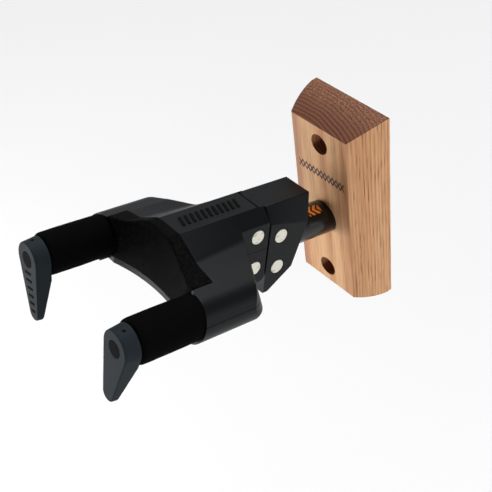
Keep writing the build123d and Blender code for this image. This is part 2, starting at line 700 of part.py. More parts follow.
def foam_sleeve(side):
    """Its tail is squeezed into the yoke's socket, and it swells out in front of the rim."""
    x = side * ARM_X
    sleeve = bar_y(x, ARM_Z, FOAM_DIAMETER, FOAM_REAR, FOAM_FRONT)
    sleeve = fillet(sleeve.edges().group_by(Axis.Y)[0], FOAM_END_ROUND)
    sleeve &= along_x(outline([
        (socket_face(SHOULDER_BOTTOM) - PLAIN_CLEARANCE, SHOULDER_BOTTOM),
        (2 * GATE_FRONT, SHOULDER_BOTTOM),
        (2 * GATE_FRONT, RIDGE_TOP),
        (socket_face(RIDGE_TOP) - PLAIN_CLEARANCE, RIDGE_TOP),
    ]), -2 * ARM_X, 2 * ARM_X)
    sleeve += bar_y(x, ARM_Z, FOAM_TAIL, FOAM_REAR, SOCKET_FRONT - SOCKET_RADIUS)
    return sleeve - bar_y(x, ARM_Z, TUBE_DIAMETER + 2 * BORE_CLEARANCE, 0, 2 * GATE_FRONT)


# ---- gates --------------------------------------------------------------------------------


def gate_outline(flare):
    """A round head about the arm's axis, tapering to a small round tip that hangs from its
    inner side, drawn about that axis in x and z."""
    head = GATE_HEAD_RADIUS
    tip = GATE_TIP_RADIUS
    tip_x = tip - head
    lean = degrees(atan2(-GATE_TIP_DROP, tip_x))
    reach = (tip_x ** 2 + GATE_TIP_DROP ** 2) ** 0.5
    spread = degrees(atan2((reach ** 2 - (head - tip) ** 2) ** 0.5, head - tip))
    outer = radians(lean + spread)
    big = head + flare
    small = tip + flare
    inner_top = (-big, 0)
    inner_low = (tip_x - small, -GATE_TIP_DROP)
    outer_top = (big * cos(outer), big * sin(outer))
    outer_low = (tip_x + small * cos(outer), -GATE_TIP_DROP + small * sin(outer))
    edges = [
        Line(inner_low, inner_top),
        ThreePointArc(inner_top, (0, big), outer_top),
        Line(outer_top, outer_low),
        ThreePointArc(outer_low, (tip_x, -GATE_TIP_DROP - small), inner_low),
    ]
    return Pos(ARM_X, ARM_Z) * make_face(edges)


def gate_screw_axis(shape):
    """Leans a piece drawn upright over the arm's axis outwards, to the set screw's line."""
    return Pos(ARM_X, 0, ARM_Z) * Rot(0, GATE_SCREW_LEAN, 0) * shape


def gate(side):
    back = across(GATE_BACK) * gate_outline(GATE_FLARE)
    front = across(GATE_FRONT) * gate_outline(0)
    body = loft([back, front], ruled=True)
    body = fillet(body.faces().sort_by(Axis.Y)[0].edges(), GATE_EDGE_ROUND)
    tip_z = ARM_Z - GATE_TIP_DROP - GATE_TIP_RADIUS
    body -= along_x(outline([
        (GATE_BACK, ARM_Z - GATE_HEAD_RADIUS),
        (GATE_FRONT + GATE_TIP_THICKNESS, tip_z - GATE_FLARE),
        (GATE_BACK + OVERCUT, tip_z - GATE_FLARE),
        (GATE_BACK + OVERCUT, ARM_Z - GATE_HEAD_RADIUS),
    ]), 0, 2 * ARM_X)
    plug_rear = GATE_FRONT + PLUG_THICKNESS + PLAIN_CLEARANCE
    body -= bar_y(ARM_X, ARM_Z, ROD_DIAMETER + 2 * BORE_CLEARANCE, GATE_BACK + OVERCUT, plug_rear)
    body -= bar_y(ARM_X, ARM_Z, PLUG_DIAMETER + 2 * BORE_CLEARANCE, plug_rear, GATE_FRONT - OVERCUT)
    middle = (GATE_BACK + GATE_FRONT) / 2
    screw_hole = GATE_SCREW + 2 * BORE_CLEARANCE
    body -= gate_screw_axis(bar_z(0, middle, screw_hole, ROD_DIAMETER / 4, 2 * GATE_HEAD_RADIUS))
    return on_side(body, side)


def gate_plug(side):
    plug = bar_y(ARM_X, ARM_Z, PLUG_DIAMETER, GATE_FRONT + PLUG_THICKNESS, GATE_FRONT - PLUG_PROUD)
    return on_side(fillet(plug.edges().group_by(Axis.Y)[0], PLUG_PROUD * 2), side)


def gate_set_screw(side):
    middle = (GATE_BACK + GATE_FRONT) / 2
    top = GATE_HEAD_RADIUS - PLAIN_CLEARANCE
    screw = bar_z(0, middle, GATE_SCREW, ROD_DIAMETER / 2 + BORE_CLEARANCE, top)
    recess = along_z(Pos(0, middle) * hexagon(GATE_SCREW / 2), top - GATE_SCREW / 2, top + OVERCUT)
    return on_side(gate_screw_axis(screw - recess), side)


def gate_rod(side):
    front = GATE_FRONT + PLUG_THICKNESS + 2 * PLAIN_CLEARANCE
    rod = bar_y(ARM_X, ARM_Z, ROD_DIAMETER, CRANK_REAR, front)
    return on_side(rod - crank_screw_shape(BORE_CLEARANCE), side)


def crank_screw_shape(clearance):
    diameter = CRANK_SCREW + 2 * clearance
    return bar_y(ARM_X, ARM_Z, diameter, CRANK_REAR + OVERCUT, CRANK_REAR - 3 * CRANK_SCREW - clearance)


def crank_screw(side):
    """A small low screw that holds the crank on the rod's end."""
    shank = bar_y(ARM_X, ARM_Z, CRANK_SCREW, CRANK_REAR, CRANK_REAR - 3 * CRANK_SCREW)
    rear = CRANK_REAR + CRANK_SCREW_HEAD_HEIGHT
    return on_side(shank + bar_y(ARM_X, ARM_Z, CRANK_SCREW_HEAD, rear, CRANK_REAR), side)


def gate_crank(side):
    """The lever on the rod's rear end, with its pin towards the head's middle."""
    swing = radians(GATE_SWING / 2)
    pin_x = ARM_X - CRANK_THROW * cos(swing)
    pin_z = ARM_Z - CRANK_THROW * sin(swing)
    arm = link_outline((ARM_X, ARM_Z), (pin_x, pin_z), CRANK_PIN)
    body = along_y(arm + Pos(ARM_X, ARM_Z) * Circle(CRANK_HUB_RADIUS), CRANK_REAR, CRANK_FRONT)
    body += bar_y(pin_x, pin_z, CRANK_PIN, CRANK_REAR + CRANK_PIN_LENGTH, CRANK_REAR)
    bore = bar_y(ARM_X, ARM_Z, ROD_DIAMETER + 2 * BORE_CLEARANCE, 0, 2 * GATE_FRONT)
    return on_side(body - bore, side)


def gate_actuator():
    """Fixed to the housing's two pins: side arms run forward into the yoke and end in a plate
    whose two forks hold the crank pins at the housing's height while the yoke drops."""
    lug = link_outline(REAR_UPPER, REAR_LOWER, LINK_RADIUS)
    plate_rear = FRONT_UPPER[0] - LINK_RADIUS - 2 * PLAIN_CLEARANCE
    plate_bottom = ACTUATOR_ARM_TOP - ACTUATOR_THICKNESS
    arm_outer = ACTUATOR_ARM_AT + ACTUATOR_THICKNESS
    body = block(-arm_outer, arm_outer, plate_rear, FORK_FRONT, plate_bottom, ACTUATOR_ARM_TOP)
    swing = radians(GATE_SWING / 2)
    pin_z = ARM_Z - CRANK_THROW * sin(swing)
    slot_end = ARM_X - CRANK_THROW - CRANK_PIN / 2 - FORK_CLEARANCE
    slot_half = CRANK_PIN / 2 + FORK_CLEARANCE
    for side in (1, -1):
        arm = block(ACTUATOR_ARM_AT, arm_outer, REAR_PIN_Y, plate_rear - OVERCUT,
                    ACTUATOR_ARM_BOTTOM, ACTUATOR_ARM_TOP)
        arm += along_x(lug, ACTUATOR_ARM_AT, arm_outer)
        arm += block(ACTUATOR_ARM_AT, FORK_OUTER - 2 * CRANK_PIN, FORK_REAR + ACTUATOR_THICKNESS,
                     FORK_FRONT, plate_bottom, ACTUATOR_ARM_TOP)
        fork = block(slot_end - CRANK_PIN, FORK_OUTER, FORK_REAR, FORK_FRONT,
                     pin_z - FORK_HALF_HEIGHT, pin_z + FORK_HALF_HEIGHT)
        fork -= block(slot_end, FORK_OUTER + OVERCUT, FORK_REAR + OVERCUT, FORK_FRONT - OVERCUT,
                      pin_z - slot_half, pin_z + slot_half)
        body += on_side(arm + fork, side)
    for place in (REAR_UPPER, REAR_LOWER):
        body -= bar_x(place, PIN + 2 * BORE_CLEARANCE, HEAD_HALF_WIDTH)
    return body


def return_spring():
    """A compression spring that stands on the actuator's plate and lifts the yoke's roof."""
    radius = SPRING_WIRE / 2
    low = SPRING_FLOOR + radius + SPRING_GAP
    height = CAVITY_TOP - radius - SPRING_GAP - low
    path = Pos(0, SPRING_AT, low) * Helix(SPRING_PITCH, height, SPRING_RADIUS)
    start = Plane(origin=path @ 0, z_dir=path % 0)
    return sweep(start * Circle(radius), path=path, is_frenet=True)


def sided(name, builder):
    return {f"{name}_right": builder(1), f"{name}_left": builder(-1)}


def build_head():
    """Every piece drawn in the head frame."""
    top, bottom = yoke_shells()
    nodes = {
        "support_post": support_post(),
        "base_bolt": base_bolt(),
        "base_washer": base_washer(),
        "post_label": post_label(),
        "stop_pin": stop_pin(),
        "thrust_washer": thrust_washer(),
        "end_washer": end_washer(),
        "end_screw": end_screw(),
        "rear_housing": rear_housing(),
        "gate_actuator": gate_actuator(),
        "return_spring": return_spring(),
        "rear_upper_pin": pin(REAR_UPPER),
        "rear_lower_pin": pin(REAR_LOWER),
        "front_upper_pin": pin(FRONT_UPPER),
        "front_lower_pin": pin(FRONT_LOWER),
        "upper_link": link(REAR_UPPER, FRONT_UPPER),
        "lower_link": link(REAR_LOWER, FRONT_LOWER),
        "upper_link_bushes": link_bushes(REAR_UPPER, FRONT_UPPER),
        "lower_link_bushes": link_bushes(REAR_LOWER, FRONT_LOWER),
        "yoke_top_shell": top,
        "yoke_bottom_shell": bottom,
        "shell_screws": shell_screws(),
        "cradle_pad": cradle_pad(),
    }
    nodes |= sided("arm_tube", arm_tube)
    nodes |= sided("foam_sleeve", foam_sleeve)
    nodes |= sided("gate", gate)
    nodes |= sided("gate_plug", gate_plug)
    nodes |= sided("gate_set_screw", gate_set_screw)
    nodes |= sided("gate_rod", gate_rod)
    nodes |= sided("gate_crank", gate_crank)
    nodes |= sided("crank_screw", crank_screw)
    return nodes


def write(name, pieces):
    """One STEP file for a node, which may be several separate solids."""
    solids = [solid for piece in pieces for solid in piece.solids()]
    shape = solids[0] if len(solids) == 1 else Compound(children=solids)
    shape.label = name
    export_step(shape, f"parts/{name}.step")


os.makedirs("parts", exist_ok=True)
write("wood_base", [wood_base()])
for name, built in build_head().items():
    pieces = built if isinstance(built, list) else [built]
    write(name, [HEAD * piece for piece in pieces])
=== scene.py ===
import json
from math import atan2, pi, radians, sin

import bmesh
import bpy
from mathutils import Matrix, Vector, noise


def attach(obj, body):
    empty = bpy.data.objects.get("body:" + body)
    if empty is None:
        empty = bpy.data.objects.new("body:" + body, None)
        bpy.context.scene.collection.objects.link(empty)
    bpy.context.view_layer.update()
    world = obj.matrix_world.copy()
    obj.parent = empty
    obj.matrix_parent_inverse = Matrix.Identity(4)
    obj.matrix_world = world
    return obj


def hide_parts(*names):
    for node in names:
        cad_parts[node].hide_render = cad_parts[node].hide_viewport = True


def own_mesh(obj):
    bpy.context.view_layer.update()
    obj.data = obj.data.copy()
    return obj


# Looks for a wall hanger for a guitar: oiled hardwood block, gloss black post, textured nylon
# head and yoke, a rubber cradle pad, foam covered arms and blue-grey nylon gates.
# Metres. The origin is on the wall, with +X right, -Y into the room and +Z up.

MM = 0.001
TOUCHING = 0.01 * MM

# The post leaves the block's front face tilted up; the head frame has -y out along the post.
BLOCK_FRONT = -24 * MM
POST_DROP = 4.9 * MM
POST_TILT = radians(15)
HEAD = Matrix.Translation((0, BLOCK_FRONT, -POST_DROP)) @ Matrix.Rotation(-POST_TILT, 4, "X")
TO_HEAD = HEAD.inverted()

# Hardwood block: the heart of its growth rings, its screw pockets and the burnt ornament
HEART_X = -9 * MM
HEART_Y = -98 * MM
RING_WIDTH = 2 * MM
POCKET_HEIGHT = 44 * MM
CHAIN_HEIGHT = 24.1 * MM
CHAIN_HALF_LENGTH = 17.5 * MM
DIAMOND_LENGTH = 5.8 * MM
DIAMOND_HEIGHT = 4.4 * MM

# Post label: chevrons about a line that lies this far round from the post's top
LABEL_RADIUS = 9.6 * MM
CHEVRON_MIDDLE = 3.0 * MM
CHEVRON_PITCH = 3.4 * MM
CHEVRON_SLOPE = 0.8

# Foam sleeves
FOAM_BORE = 7.05 * MM
FOAM_TAIL = 10.4 * MM
FOAM_IN_SOCKET = 14.6 * MM
FOAM_STEPS = 96
FOAM_STATIONS = 24
FOAM_TAPER = 0.10 * MM
FOAM_DENT = 0.09 * MM
FOAM_DENTS_PER_METRE = 190
SOCKET_SLANT = 0.16
SLANT_REACH = 20 * MM

# Rounded ends of the foam, in mm: how much smaller the radius is, and how far that is from
# the socket's rim or from the front end
FOAM_REAR_ROUND = [(0.35, 0.06), (0.22, 0.3), (0.08, 0.8), (0.02, 1.7)]
FOAM_FRONT_ROUND = [(0.12, 2.2), (0.2, 1.4), (0.45, 0.75), (0.9, 0.3), (1.5, 0.06), (2.2, 0)]

# Cradle cushion
CUSHION_VOXEL = 0.55 * MM
CUSHION_SMOOTHINGS = 5
CUSHION_SWELL = 0.10 * MM
CUSHION_LUMPS_PER_METRE = 150

# Return spring
SPRING_TURNS = 6.6
SPRING_STEPS_PER_TURN = 28
SPRING_WIRE_RADIUS = 0.45 * MM
SPRING_WIRE_SIDES = 12

# Bevels on the pieces whose sharp edges are broken
EDGE_ROUNDS = {
    "rear_housing": 0.35 * MM,
    "gate_left": 0.3 * MM,
    "gate_right": 0.3 * MM,
}

# Raised bars on the yoke's ridge and on the left gate
RIDGE_BARS = 11
RIDGE_BAR_PITCH = 3.3 * MM
RIDGE_BAR_SIZE = (7.6 * MM, 1.7 * MM, 0.9 * MM)
RIDGE_BAR_TURN = radians(-16)
GATE_BARS = 6
GATE_BAR_LENGTH = 5.6 * MM
GATE_BAR_SHORTENING = 1.9 * MM
GATE_BAR_DEPTH = 0.6 * MM
GATE_BAR_WIDTH = 1.3 * MM

FLOOR_HEIGHT = -450 * MM
FLOOR_HALF_WIDTH = 6.0

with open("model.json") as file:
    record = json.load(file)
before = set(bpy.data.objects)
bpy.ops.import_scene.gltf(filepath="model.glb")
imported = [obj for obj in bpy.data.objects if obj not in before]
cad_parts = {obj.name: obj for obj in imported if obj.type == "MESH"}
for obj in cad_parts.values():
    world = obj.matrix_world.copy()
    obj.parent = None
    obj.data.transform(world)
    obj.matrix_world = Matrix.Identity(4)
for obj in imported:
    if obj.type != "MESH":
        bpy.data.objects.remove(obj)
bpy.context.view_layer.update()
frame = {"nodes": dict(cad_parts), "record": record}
nodes = frame["nodes"]


# ---- finishes -----------------------------------------------------------------------------


def tint(red, green, blue):
    """A colour named by its screen values, 0 to 255, as the shader wants it."""
    def straight(value):
        value /= 255
        return value / 12.92 if value <= 0.04045 else ((value + 0.055) / 1.055) ** 2.4
    return straight(red), straight(green), straight(blue), 1.0


class Term:
    """A value in a finish. Arithmetic on it adds Math nodes."""

    def __init__(self, finish, socket):
        self.finish = finish
        self.socket = socket

    def math(self, operation, *values):
        return self.finish.node("ShaderNodeMath", {"operation": operation}, dict(enumerate(values)))

    def __add__(self, other):
        return self.math("ADD", self, other)

    def __radd__(self, other):
        return self.math("ADD", other, self)

    def __sub__(self, other):
        return self.math("SUBTRACT", self, other)

    def __rsub__(self, other):
        return self.math("SUBTRACT", other, self)

    def __mul__(self, other):
        return self.math("MULTIPLY", self, other)

    def __rmul__(self, other):
        return self.math("MULTIPLY", other, self)

    def __truediv__(self, other):
        return self.math("DIVIDE", self, other)

    def __pow__(self, other):
        return self.math("POWER", self, other)

    def __abs__(self):
        return self.math("ABSOLUTE", self)

    def part(self):
        """What is left after the whole turns are taken away."""
        return self.math("FRACT", self)

    def capped(self):
        """The value, or 1 where it is more."""
        return self.math("MINIMUM", self, 1.0)


class Finish:
    """A material, or the surroundings, being made out of shader nodes."""

    def __init__(self, owner):
        self.owner = owner
        owner.use_nodes = True
        self.tree = owner.node_tree

    def node(self, kind, settings=None, inputs=None, output=0):
        """A new node: its settings first, then a value or a link for each input named."""
        made = self.tree.nodes.new(kind)
        for name, value in (settings or {}).items():
            if name == "stops":
                self.stops(made.color_ramp, value)
            else:
                setattr(made, name, value)
        for name, value in (inputs or {}).items():
            self.feed(made.inputs[name], value)
        return Term(self, made.outputs[output])

    def stops(self, ramp, stops):
        while len(ramp.elements) < len(stops):
            ramp.elements.new(1.0)
        for element, (place, colour) in zip(ramp.elements, stops):
            element.position = place
            element.color = colour

    def feed(self, socket, value):
        if isinstance(value, Term):
            self.tree.links.new(value.socket, socket)
        else:
            socket.default_value = value

    def surface(self, values):
        """Sets or links the inputs of the material's one Principled shader."""
        shader = self.tree.nodes["Principled BSDF"]
        for name, value in values.items():
            self.feed(shader.inputs[name], value)

    def place(self):
        return self.node("ShaderNodeTexCoord", output="Object")

    def turned(self, centre=(0, 0, 0), turn=(0, 0, 0), scale=(1, 1, 1), kind="POINT"):
        """Object coordinates, stretched and turned as a Mapping node of that kind does."""
        return self.node("ShaderNodeMapping", {"vector_type": kind}, {
            "Vector": self.place(), "Location": centre, "Rotation": turn, "Scale": scale,
        })

    def head_place(self):
        """Coordinates in the head frame, where -y runs out along the arms."""
        return self.turned((0, BLOCK_FRONT, -POST_DROP), (-POST_TILT, 0, 0), kind="TEXTURE")

    def split(self, vector):
        apart = self.node("ShaderNodeSeparateXYZ", None, {0: vector})
        outputs = apart.socket.node.outputs
        return [Term(self, outputs[i]) for i in range(3)]

    def grain(self, scale, detail=2.0, roughness=0.5, stretch=(1, 1, 1), turn=(0, 0, 0)):
        """Soft noise from 0 to 1 with so many lumps to the metre."""
        where = self.turned(scale=stretch, turn=turn)
        return self.node("ShaderNodeTexNoise", None, {
            "Vector": where, "Scale": scale, "Detail": detail, "Roughness": roughness,
        })

    def rise(self, value, start, end):
        """0 before start, 1 after end and a smooth step between them."""
        return self.node("ShaderNodeMapRange", {"interpolation_type": "SMOOTHSTEP"}, {
            "Value": value, "From Min": start, "From Max": end,
        })

    def mix(self, share, one, other):
        """One colour where the share is 0, the other where it is 1."""
        return self.node("ShaderNodeMix", {"data_type": "RGBA"}, {
            0: share, 6: one, 7: other,
        }, output=2)

    def relief(self, height, strength, depth):
        return self.node("ShaderNodeBump", None, {
            "Height": height, "Strength": strength, "Distance": depth,
        })


def new_finish(name):
    return Finish(bpy.data.materials.new(name))


def burnt_chain(f, x, z):
    """1 on two zigzags that cross to make a chain of diamonds, and 0 off them."""
    zigzag = abs((x / DIAMOND_LENGTH).part() * 2 - 1) * DIAMOND_HEIGHT - DIAMOND_HEIGHT / 2
    across = z - CHAIN_HEIGHT
    line = f.rise(abs(across - zigzag), 1.2 * MM, 0.7 * MM)
    mirror_line = f.rise(abs(across + zigzag), 1.2 * MM, 0.7 * MM)
    within = f.rise(abs(x), CHAIN_HALF_LENGTH + 0.2 * MM, CHAIN_HALF_LENGTH - 0.2 * MM)
    return (line + mirror_line).capped() * within


def oiled_hardwood():
    """Grain upright, rings about a heart in front of the block, darker on the cut ends, with
    brown pockets and a burnt ornament below the upper one."""
    f = new_finish("oiled_hardwood")
    x, y, z = f.split(f.place())
    depth = y - BLOCK_FRONT

    # Growth rings, fibres and pores
    sway = f.grain(30, 2.0, stretch=(1, 1, 0.16)) - 0.5
    heart_x = x - HEART_X + sway * 0.006
    heart_y = y - HEART_Y + sway * 0.005
    from_heart = (heart_x * heart_x + heart_y * heart_y) ** 0.5
    ring = (from_heart / RING_WIDTH).part()
    late = f.rise(ring, 0.30, 0.80) - f.rise(ring, 0.86, 1.0)
    season = f.grain(200, 1.0, stretch=(0.3, 1, 0.02))
    fibre = f.grain(1300, 3.0, 0.6, stretch=(1, 1, 0.03))
    pores = f.rise(f.grain(1550, 1.0, 0.4, stretch=(1, 1, 0.05)), 0.55, 0.66)
    pores = pores * (1 - f.rise(depth, 1.5 * MM, 0.3 * MM) * 0.6)

    # Long grain, with a rosy and a tawny streak
    broad = f.grain(75, 1.0, stretch=(1, 1, 0.05))
    pale = f.mix(f.rise(broad, 0.35, 0.7), tint(230, 181, 132), tint(212, 154, 106))
    rosy = f.rise(abs(x + 18.5 * MM + sway * 0.004), 4.5 * MM, 0.5 * MM) * 0.65
    tawny = f.rise(abs(x - 18.5 * MM + sway * 0.005), 5.0 * MM, 1.0 * MM) * 0.45
    tawny = tawny * f.rise(depth, 6 * MM, 2 * MM)
    toned = f.mix(tawny, f.mix(rosy, pale, tint(182, 128, 104)), tint(176, 112, 70))
    ringed = f.mix(late * (0.15 + season * 0.55), toned, tint(172, 110, 64))
    streaked = f.mix(f.rise(fibre, 0.35, 0.75) * 0.4, ringed, tint(152, 94, 50))
    long_grain = f.mix(pores * (0.15 + late * 0.6), streaked, tint(110, 60, 30))

    # Cut ends
    facing = f.split(f.node("ShaderNodeNewGeometry", output="Normal"))[2]
    end_cut = f.rise(abs(facing), 0.25, 0.6)
    end_ring = f.mix(late * (0.45 + season * 0.6), tint(130, 74, 42), tint(52, 22, 10))
    fleck = f.rise(f.grain(1250, 2.0, 0.6), 0.48, 0.62) * f.rise(depth, 4 * MM, 20 * MM)
    end_fleck = f.mix(fleck * 0.75, end_ring, tint(182, 120, 74))
    end_pore = f.rise(f.grain(1700, 1.0, 0.5), 0.56, 0.66) * 0.6
    end_grain = f.mix(end_pore, end_fleck, tint(74, 32, 16))
    grained = f.mix(end_cut, long_grain, end_grain)

    # Screw pockets and ornament
    pocket_z = abs(z) - POCKET_HEIGHT
    pocket = f.rise((x * x + pocket_z * pocket_z) ** 0.5, 6.1 * MM, 5.8 * MM)
    sunk = pocket * f.rise(depth, 0.1 * MM, 0.6 * MM)
    bored = f.mix(sunk * 0.75, grained, tint(150, 84, 50))
    on_front = f.rise(depth, 0.4 * MM, 0.1 * MM)
    worn = 0.75 + f.rise(fibre, 0.3, 0.6) * 0.25
    burnt = f.mix(burnt_chain(f, x, z) * on_front * worn, bored, tint(66, 36, 26))

    f.surface({
        "Base Color": burnt,
        "Roughness": 0.52 + fibre * 0.2,
        "Specular IOR Level": 0.35,
        "Normal": f.relief(fibre * 0.3 - pores * 0.8 + late * 0.15, 0.5, 0.12 * MM),
    })
    return f.owner


def black_enamel():
    f = new_finish("black_enamel")
    orange_peel = f.grain(420, 2.0)
    f.surface({
        "Base Color": f.mix(f.grain(90), (0.0022, 0.0022, 0.0024, 1), (0.0045, 0.0045, 0.005, 1)),
        "Roughness": 0.13 + f.grain(150, 3.0) * 0.08,
        "Specular IOR Level": 0.35,
        "Normal": f.relief(orange_peel, 0.12, 0.0002),
    })
    return f.owner


def steel(name, colour, roughness, scratches):
    """Bare steel, mottled a little, with fine scratches: so many to the metre."""
    f = new_finish(name)
    mottle = f.grain(700, 4.0, 0.6)
    dark = tuple(part * 0.7 for part in colour[:3]) + (1.0,)
    f.surface({
        "Metallic": 1.0,
        "Base Color": f.mix(mottle, dark, colour),
        "Roughness": roughness + mottle * 0.15,
        "Normal": f.relief(f.grain(scratches, 3.0, 0.6, stretch=(1, 0.1, 1)), 0.25, 0.00005),
    })
    return f.owner


def zinc_steel():
    return steel("zinc_steel", (0.66, 0.67, 0.69, 1), roughness=0.28, scratches=1800)


def spring_steel():
    return steel("spring_steel", (0.5, 0.5, 0.51, 1), roughness=0.25, scratches=2600)


def nickel_pin():
    """Satin heads with fine scuffs and a few darker scrapes."""
    f = new_finish("nickel_pin")
    scuff = f.grain(900, 4.0, 0.65)
    scrape = f.rise(f.grain(650, 2.0, 0.5, stretch=(1, 0.35, 1), turn=(0.6, 0, 0)), 0.60, 0.68)
    f.surface({
        "Metallic": 1.0,
        "Base Color": f.mix(scrape * 0.6, tint(212, 209, 197), tint(130, 126, 114)),
        "Roughness": 0.3 + scuff * 0.2,
        "Normal": f.relief(scuff * 0.5 - scrape, 0.35, 0.0001),
    })
    return f.owner


def printed_label():
    """Gloss black film with a stack of plain orange chevrons on its right side."""
    f = new_finish("printed_label")
    x, y, z = f.split(f.head_place())
    reach = 0.0 - y
    around = f.node("ShaderNodeMath", {"operation": "ARCTAN2"}, {0: x, 1: z}) * LABEL_RADIUS
    from_middle = abs(around - CHEVRON_MIDDLE)
    stack = ((reach + from_middle * CHEVRON_SLOPE) / CHEVRON_PITCH).part()
    chevrons = f.rise(stack, 0.30, 0.38) * f.rise(stack, 0.98, 0.90)
    sides = f.rise(from_middle, 3.2 * MM, 2.9 * MM)
    ends = f.rise(reach, 7.8 * MM, 8.1 * MM) * f.rise(reach, 17.1 * MM, 16.8 * MM)
    f.surface({
        "Base Color": f.mix(chevrons * sides * ends, (0.003, 0.003, 0.003, 1), tint(226, 128, 48)),
        "Roughness": 0.2 + f.grain(300) * 0.06,
        "Normal": f.relief(f.grain(260), 0.08, 0.2 * MM),
    })
    return f.owner


def nylon(name, one, other, roughness, shine):
    """Moulded nylon: a fine spark-eroded texture over faint flow marks."""
    f = new_finish(name)
    flow = f.grain(26, 3.0, 0.55, stretch=(1, 0.4, 1))
    texture = f.grain(5200, 2.0, 0.6)
    f.surface({
        "Base Color": f.mix(f.rise(flow, 0.3, 0.7), one, other),
        "Roughness": roughness + texture * 0.1 + flow * 0.06,
        "Specular IOR Level": shine,
        "Normal": f.relief(texture, 0.3, 0.00006),
    })
    return f.owner


def white_nylon():
    return nylon("white_nylon", tint(226, 223, 214), tint(214, 210, 198),
                 roughness=0.4, shine=0.5)


def charcoal_nylon():
    return nylon("charcoal_nylon", (0.0028, 0.0038, 0.0048, 1), (0.0038, 0.0048, 0.0058, 1),
                 roughness=0.34, shine=0.13)


def slate_nylon():
    return nylon("slate_nylon", (0.016, 0.0225, 0.0265, 1), (0.020, 0.027, 0.031, 1),
                 roughness=0.5, shine=0.05)


def black_plug():
    return nylon("black_plug", (0.006, 0.006, 0.0055, 1), (0.008, 0.008, 0.0075, 1),
                 roughness=0.7, shine=0.03)


def black_screw():
    return steel("black_screw", (0.05, 0.05, 0.052, 1), roughness=0.42, scratches=2200)


def black_foam():
    """Closed cell foam: matte, with small open pores where the skin was cut."""
    f = new_finish("black_foam")
    cells = f.node("ShaderNodeTexVoronoi", None, {"Vector": f.place(), "Scale": 1500.0})
    fine = f.grain(3600, 3.0, 0.7)
    lumps = f.grain(160, 2.0)
    f.surface({
        "Base Color": f.mix(fine, (0.0008, 0.0009, 0.0009, 1), (0.0042, 0.0044, 0.0040, 1)),
        "Roughness": 0.82 + fine * 0.15,
        "Specular IOR Level": 0.02,
        "Normal": f.relief(cells * 0.5 + fine + lumps * 1.5, 0.5, 0.00018),
    })
    return f.owner


def cradle_rubber():
    """Soft moulded rubber with a leathery grain, in patches that are a little paler and duller."""
    f = new_finish("cradle_rubber")
    cells = f.node("ShaderNodeTexVoronoi", {"feature": "SMOOTH_F1"}, {
        "Vector": f.place(), "Scale": 1150.0, "Smoothness": 0.6,
    })
    fine = f.grain(3000, 3.0, 0.65)
    patches = f.rise(f.grain(650, 5.0, 0.75), 0.36, 0.64)
    f.surface({
        "Base Color": f.mix(patches, (0.0006, 0.0007, 0.0006, 1), (0.0062, 0.0068, 0.0060, 1)),
        "Roughness": 0.66 + fine * 0.14 + patches * 0.1,
        "Specular IOR Level": 0.03,
        "Normal": f.relief(cells * 0.8 + fine * 0.5 + patches * 0.6, 0.8, 0.00022),
    })
    return f.owner


FINISHES = {
    "oiled_hardwood": oiled_hardwood(),
    "black_enamel": black_enamel(),
    "zinc_steel": zinc_steel(),
    "spring_steel": spring_steel(),
    "printed_label": printed_label(),
    "white_nylon": white_nylon(),
    "charcoal_nylon": charcoal_nylon(),
    "nickel_pin": nickel_pin(),
    "black_screw": black_screw(),
    "black_foam": black_foam(),
    "cradle_rubber": cradle_rubber(),
    "slate_nylon": slate_nylon(),
    "black_plug": black_plug(),
}


def round_edges(node, size):
    """Breaks the sharp edges so that they catch the light."""
    weld = node.modifiers.new("weld", "WELD")
    weld.merge_threshold = TOUCHING
    bevel = node.modifiers.new("edge_round", "BEVEL")
    bevel.width = size
    bevel.segments = 2
    bevel.limit_method = "ANGLE"
    bevel.angle_limit = radians(35)
    bevel.use_clamp_overlap = True


def finish_cad_nodes():
    for part in frame["record"]["subparts"]:
        mesh = nodes[part["node"]].data
        mesh.materials.clear()
        mesh.materials.append(FINISHES[part["material_slot"]])
        if part["node"] in EDGE_ROUNDS:
            round_edges(nodes[part["node"]], EDGE_ROUNDS[part["node"]])


# ---- pieces -------------------------------------------------------------------------------


def head_box(node):
    """Lowest and highest corner of a CAD node in the head frame."""
    corners = [TO_HEAD @ vertex.co for vertex in nodes[node].data.vertices]
    low = Vector(min(corner[i] for corner in corners) for i in range(3))
    high = Vector(max(corner[i] for corner in corners) for i in range(3))
    return low, high


def piece(name, shape, body, slot, smooth=True):
    """A finished piece from a bmesh drawn in the head frame."""
    bmesh.ops.recalc_face_normals(shape, faces=shape.faces)
    shape.transform(HEAD)
    mesh = bpy.data.meshes.new(name)
    shape.to_mesh(mesh)
    shape.free()
    mesh.materials.append(FINISHES[slot])
    for polygon in mesh.polygons:
        polygon.use_smooth = smooth
    made = bpy.data.objects.new(name, mesh)
    bpy.context.scene.collection.objects.link(made)
    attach(made, body)
    return made


def lathe(shape, outline, centre, steps):
    """Spins a closed outline of (radius, y) points about an arm's axis, which makes a tube."""
    ring = [shape.verts.new((centre.x + radius, y, centre.z)) for radius, y in outline]
    edges = [shape.edges.new(pair) for pair in zip(ring, ring[1:] + ring[:1])]
    bmesh.ops.spin(shape, geom=ring + edges, cent=centre, axis=(0, 1, 0), angle=2 * pi,
                   steps=steps, use_merge=True)
    bmesh.ops.remove_doubles(shape, verts=shape.verts, dist=TOUCHING)


